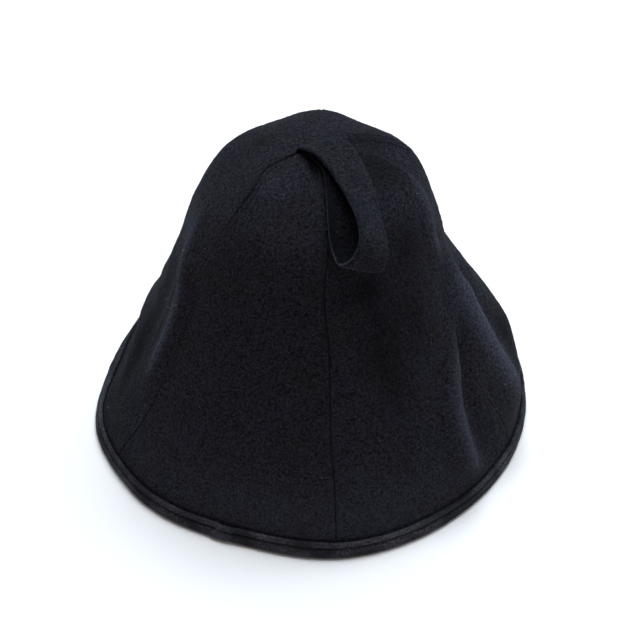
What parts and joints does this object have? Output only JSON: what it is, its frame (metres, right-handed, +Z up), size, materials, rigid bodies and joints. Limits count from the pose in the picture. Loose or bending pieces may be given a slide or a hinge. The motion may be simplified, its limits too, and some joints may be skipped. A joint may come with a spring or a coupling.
{
  "type": "sauna hat",
  "caption": "Bell-shaped felt sauna hat of six sewn gores with a bound, stitched rim and a felt hanging loop sewn in at the top of the crown.",
  "frame": {"origin": "on the floor, at the centre of the rim that the hat rests on", "axes": "+Z up through the crown, -Y towards the back of the hat, where the centre seam and the hanging loop are, +X to the right as seen from behind"},
  "size_m": [0.2986, 0.2972, 0.235],
  "materials": {
    "wool_felt": "matt black wool felt with a faint navy cast",
    "rim_tape": "matt black woven felt tape, folded over the rim and stitched",
    "loop_felt": "matt black wool felt strap with cut edges"
  },
  "bodies": {
    "root": {"gore_back_left": "wool_felt", "gore_back_right": "wool_felt", "gore_front_left": "wool_felt", "gore_front_right": "wool_felt", "gore_side_left": "wool_felt", "gore_side_right": "wool_felt", "rim_binding": "rim_tape", "hanging_loop": "loop_felt"}
  },
  "joints": []
}
